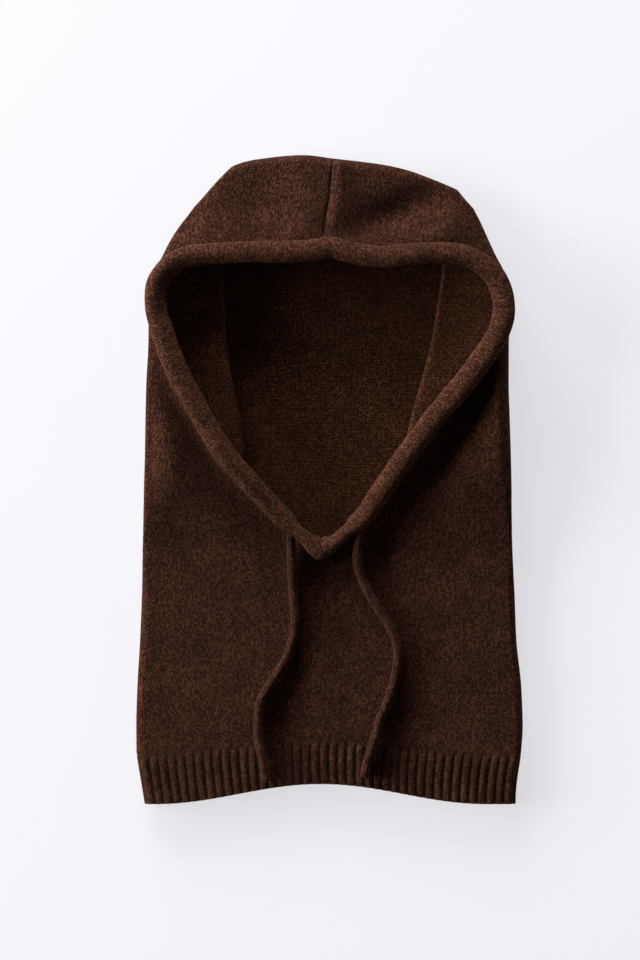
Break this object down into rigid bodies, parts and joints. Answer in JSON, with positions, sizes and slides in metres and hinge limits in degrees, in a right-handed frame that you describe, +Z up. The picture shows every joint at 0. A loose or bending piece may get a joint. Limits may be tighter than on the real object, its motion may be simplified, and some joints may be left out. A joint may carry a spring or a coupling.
{
  "type": "knit hood",
  "caption": "Soft knitted hood that covers head and neck, lying flat, with a V-shaped face opening, a rolled casing with a drawcord and a ribbed hem.",
  "frame": {"origin": "on the supporting surface, below the middle of the hood's outline as it lies face up", "axes": "+X across the hood to the right of someone looking down at it, +Y from the ribbed hem to the crown, +Z up from the surface"},
  "size_m": [0.2788, 0.4669, 0.0352],
  "materials": {
    "knit_body": "heathered dark brown plain knit in brushed wool, matt and slightly hairy",
    "knit_casing": "plain knit rolled to a tube, its wales running across the casing",
    "knit_rib": "two by two rib knit in the same brown wool",
    "knit_cord": "round knitted cord in the same brown wool with blunt sewn ends"
  },
  "bodies": {
    "root": {"hood_shell": "knit_body", "face_casing": "knit_casing", "hem_rib": "knit_rib", "drawcord_in_casing": "knit_cord", "drawcord_left": "knit_cord", "drawcord_right": "knit_cord"}
  },
  "joints": []
}
